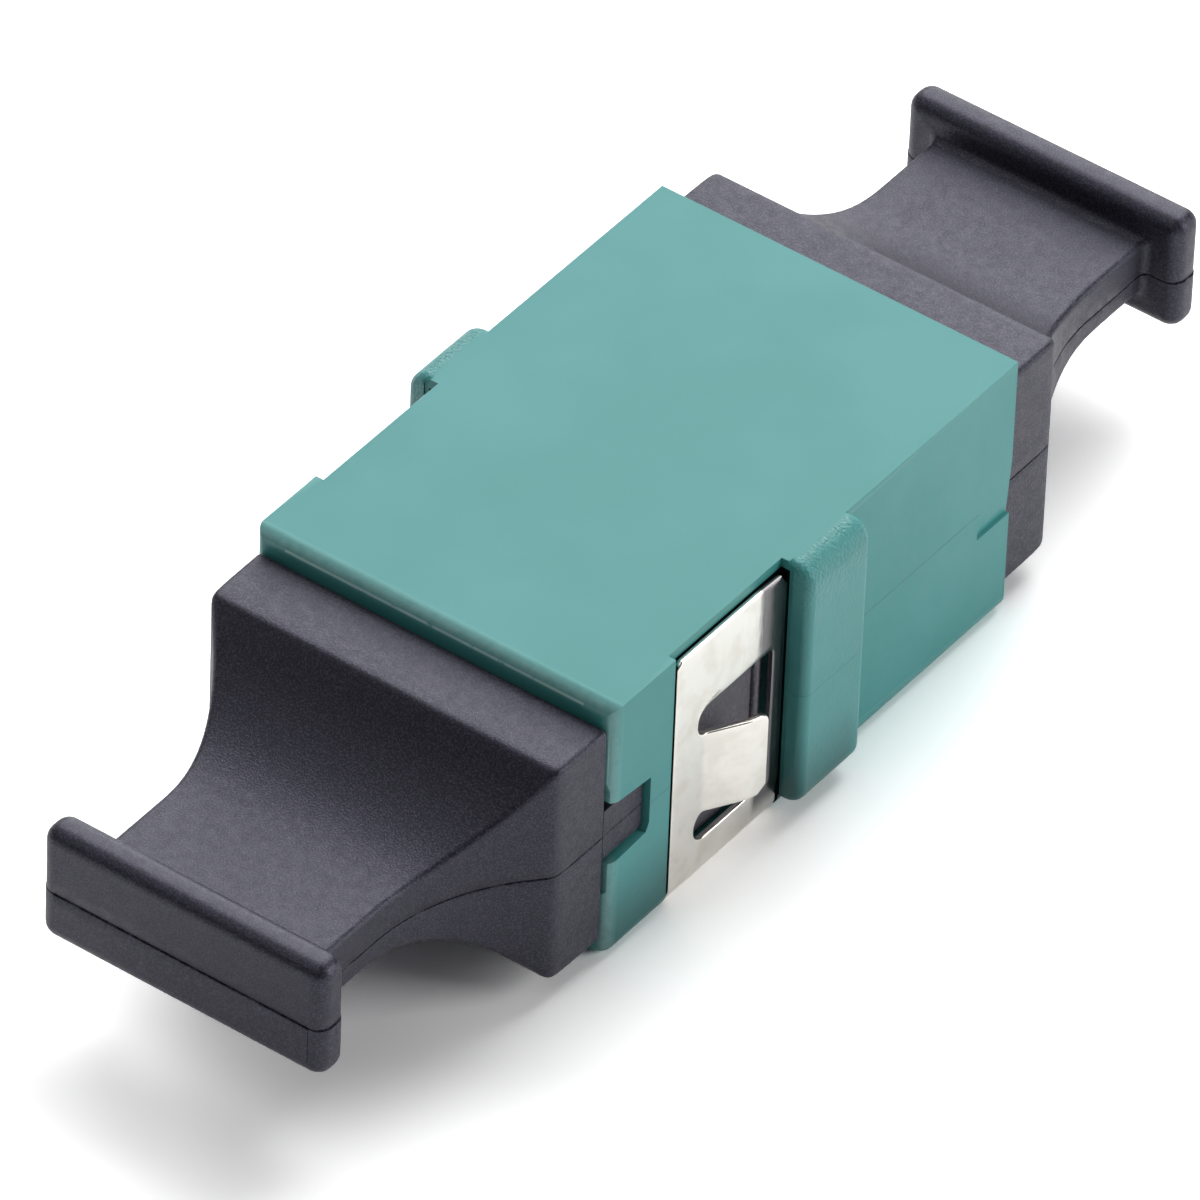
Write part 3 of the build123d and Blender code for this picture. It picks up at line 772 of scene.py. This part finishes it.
def blank_loop():
    """Half of the blank's outline, from the middle of the near edge up the leg and back
    along the far edge, mirrored to the other leg."""
    top = CLIP_TOP + TO_U
    half = np.concatenate([
        [(0, CLIP_NEAR)],
        arc((top - CORNER_ROUND, CLIP_NEAR + CORNER_ROUND), CORNER_ROUND, 270, 360),
        [(top, CLIP_FAR - CUT_CORNER_V), (top - CUT_CORNER_U, CLIP_FAR), (0, CLIP_FAR)],
    ])
    other = half[1:-1][::-1] * (-1, 1)
    return np.concatenate([half, other])


print("blank", round(2 * (CLIP_TOP + TO_U), 2), "by", round(CLIP_FAR - CLIP_NEAR, 2), "mm before folding")

# %% [markdown]
# Three tools work on such loops: one adds points along the long straight sides, one
# moves a loop sideways, for the rounded cut edges, and one tells which points of a grid
# lie inside it.

# %% Tools for loops


def dense(loop, spacing=0.12):
    """The loop again with points added so that no side is longer than the spacing."""
    after = np.roll(loop, -1, axis=0)
    pieces = []
    for a, b in zip(loop, after):
        count = max(int(math.ceil(np.linalg.norm(b - a) / spacing)), 1)
        pieces.append(a + (b - a) * (np.arange(count) / count)[:, None])
    return np.concatenate(pieces)


def inset(loop, distance):
    """The loop moved sideways to its left by the distance: each point moves along the
    mean of its two sides' normals, stretched so that the sides stay parallel."""
    ahead = np.roll(loop, -1, axis=0) - loop
    ahead /= np.linalg.norm(ahead, axis=1)[:, None]
    left = np.stack([-ahead[:, 1], ahead[:, 0]], axis=1)
    mean = left + np.roll(left, 1, axis=0)
    mean /= np.linalg.norm(mean, axis=1)[:, None]
    stretch = 1 / np.clip(np.sum(mean * left, axis=1), 0.5, 1)
    return loop + mean * (distance * stretch)[:, None]


def within(points, loop):
    """True for points inside a loop: a ray to the right crosses it an odd number
    of times."""
    a, b = loop, np.roll(loop, -1, axis=0)
    px, py = points[:, 0, None], points[:, 1, None]
    spans = (a[None, :, 1] > py) != (b[None, :, 1] > py)
    rise = np.where(b[:, 1] == a[:, 1], 1e-12, b[:, 1] - a[:, 1])
    cross = a[None, :, 0] + (py - a[None, :, 1]) * ((b - a)[None, :, 0] / rise[None])
    return (np.sum(spans & (px < cross), axis=1) % 2).astype(bool)


def on_sheet(points, edge):
    """True for points inside the outline and outside both windows."""
    outline, right, left = edge
    return within(points, outline) & ~within(points, right) & ~within(points, left)


# %% [markdown]
# The flat faces are filled with triangles over a fine grid, because the folds need
# points to bend at. A grid that is denser at the folds, a clear band along the
# edges, and Blender's own triangulation over them all give even triangles.

# %% Fill the flat blank
GRID_HALF, GRID_U, GRID_V, CLEAR = 15.3, 0.18, 0.1, 0.07
FOLD_U = np.arange(5.9, 6.7, 0.1)


def fill(edge):
    """Flat points and triangles of the sheet: the loops' own points first, then those grid
    points on the sheet that lie further than the clear distance from all of them."""
    u = np.concatenate([np.arange(-GRID_HALF, GRID_HALF + 0.1, GRID_U), FOLD_U, -FOLD_U])
    v = np.arange(CLIP_NEAR + GRID_V, CLIP_FAR, GRID_V)
    grid = np.stack(np.meshgrid(np.unique(u.round(3)), v, indexing="ij"), axis=2).reshape(-1, 2)
    grid = grid[on_sheet(grid, edge)]
    rim = np.concatenate(edge)
    away = (rim[:, 0] - grid[:, :1]) ** 2 + (rim[:, 1] - grid[:, 1:]) ** 2
    flat = np.concatenate([rim, grid[away.min(axis=1) > CLEAR ** 2]])
    sides, start = [], 0
    for loop in edge:
        number = start + np.arange(len(loop))
        sides += list(zip(number.tolist(), np.roll(number, -1).tolist()))
        start += len(loop)
    _, _, triangles, origin, _, _ = delaunay_2d_cdt([Vector(p) for p in flat], sides, [], 0, 1e-6)
    triangles = np.array([ids[0] for ids in origin])[np.array(triangles)]
    triangles = triangles[on_sheet(flat[triangles].mean(axis=1), edge)]
    a = flat[triangles[:, 1]] - flat[triangles[:, 0]]
    b = flat[triangles[:, 2]] - flat[triangles[:, 0]]
    area = a[:, 0] * b[:, 1] - a[:, 1] * b[:, 0]
    triangles[area < 0] = triangles[area < 0][:, ::-1]
    return flat, triangles


# %% [markdown]
# Now the blank is folded, point by point, by one function of u, v and the depth in the
# sheet. Each loop becomes a stack of rings on the way down through the sheet: the
# face's edge, a quarter round, the cut wall, and the round on the inner face.

# %% Fold the clip
EDGE_R = 0.045
LEAN, LEAN_LONG, LEAN_FOOT, LEAN_RISE = 0.06, 1.1, 0.75, 0.85
TONGUE_MIDDLE, TONGUE_AROUND, ROOT_PAST, TIP_SHORT = 4.05, 2.0, 0.2, 0.3


def folded(u, v, depth):
    """Places in space of blank points at a depth under the outer face. Along the section
    the sheet is level, turns through a quarter circle, and climbs the leg. A leg's far
    end leans out a little, and points on a tongue follow the tongue's curve."""
    along, side = np.abs(u), np.sign(u)
    turn = np.clip((along - FLAT_HALF) / FOLD, 0, math.pi / 2)
    climb = np.clip(along - FLAT_HALF - FOLD_LONG, 0, None)
    x = np.minimum(along, FLAT_HALF) + (FOLD - depth) * np.sin(turn)
    z = UNDER_Z + FOLD - (FOLD - depth) * np.cos(turn) + climb
    towards_ear = np.clip((v - CLIP_FAR + LEAN_LONG) / LEAN_LONG, 0, 1)
    x += LEAN * (towards_ear * np.clip((z - LEAN_FOOT) / LEAN_RISE, 0, 1))
    length, reach, out, slope = tongue_curve()
    in_window = (v > WINDOW_NEAR + ROOT_PAST) & (v < WINDOW_FAR - TIP_SHORT) & (climb > 0)
    on_tongue = in_window & (np.abs(z - TONGUE_MIDDLE) < TONGUE_AROUND)
    s = v - WINDOW_NEAR
    phi = np.interp(s, length, slope)
    tongue_x = LEG_X - SHEET / 2 + np.interp(s, length, out) + (SHEET / 2 - depth) * np.cos(phi)
    tongue_y = WINDOW_NEAR + np.interp(s, length, reach) - (SHEET / 2 - depth) * np.sin(phi)
    x, y = np.where(on_tongue, tongue_x, x), np.where(on_tongue, tongue_y, v)
    return np.stack([side * x, y, z], axis=1)


def folded_clip():
    """Points and faces of the clip: two filled faces and the rings between them. A quarter
    round of radius r is r (1 - cos a) deep and r (1 - sin a) aside."""
    right = window_loop()[::-1]
    right[:, 0] += TO_U
    right = dense(right)
    loops = [dense(blank_loop()), right, right[::-1] * (-1, 1)]
    flat, triangles = fill([inset(loop, EDGE_R) for loop in loops])
    count = len(flat)
    points = [folded(flat[:, 0], flat[:, 1], 0.0), folded(flat[:, 0], flat[:, 1], SHEET)]
    faces = triangles[:, ::-1].tolist() + (triangles + count).tolist()
    quarter = np.radians([0, 30, 60, 90])
    deep, aside = EDGE_R * (1 - np.cos(quarter)), EDGE_R * (1 - np.sin(quarter))
    depths = np.concatenate([deep, SHEET - deep[::-1]])
    insets = np.concatenate([aside, aside[::-1]])
    used, start = 2 * count, 0
    for loop in loops:
        size = len(loop)
        upper = start + np.arange(size)
        for step in range(1, len(depths)):
            if step == len(depths) - 1:
                lower = start + count + np.arange(size)
            else:
                ring = inset(loop, insets[step])
                points.append(folded(ring[:, 0], ring[:, 1], depths[step]))
                lower = used + np.arange(size)
                used += size
            faces += np.stack([upper, np.roll(upper, -1), np.roll(lower, -1), lower], axis=1).tolist()
            upper = lower
        start += size
    return np.concatenate(points), faces


points, faces = folded_clip()
clip = surface("clip_skin", points, faces)
clip.data.materials.append(steel)
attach(clip, "adapter")
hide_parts("retaining_clip")

# %% [markdown]
# The housing and the latch keep the solids' own shapes. Their edges are
# knife sharp, though, and a real edge always catches a line of light. A Weld
# joins the loose triangles, and a Bevel rounds the sharp edges by a few hundredths.

# %% Soft edges on the solids' own shapes
WELD_WITHIN, SHARP_FROM = 1e-7, 35


def soften(node, width_mm):
    """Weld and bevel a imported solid's mesh by modifiers, so the mesh itself stays."""
    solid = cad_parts[node]
    weld = solid.modifiers.new("weld", "WELD")
    weld.merge_threshold = WELD_WITHIN
    bevel = solid.modifiers.new("soft_edges", "BEVEL")
    bevel.width, bevel.segments = width_mm * MM, 2
    bevel.limit_method, bevel.angle_limit = "ANGLE", math.radians(SHARP_FROM)
    bevel.use_clamp_overlap = True
    even = solid.modifiers.new("even_normals", "WEIGHTED_NORMAL")
    even.weight, even.keep_sharp = 100, False
    print(node, "edges rounded by", width_mm, "mm")


soften("housing", 0.05)
soften("latch_insert", 0.03)
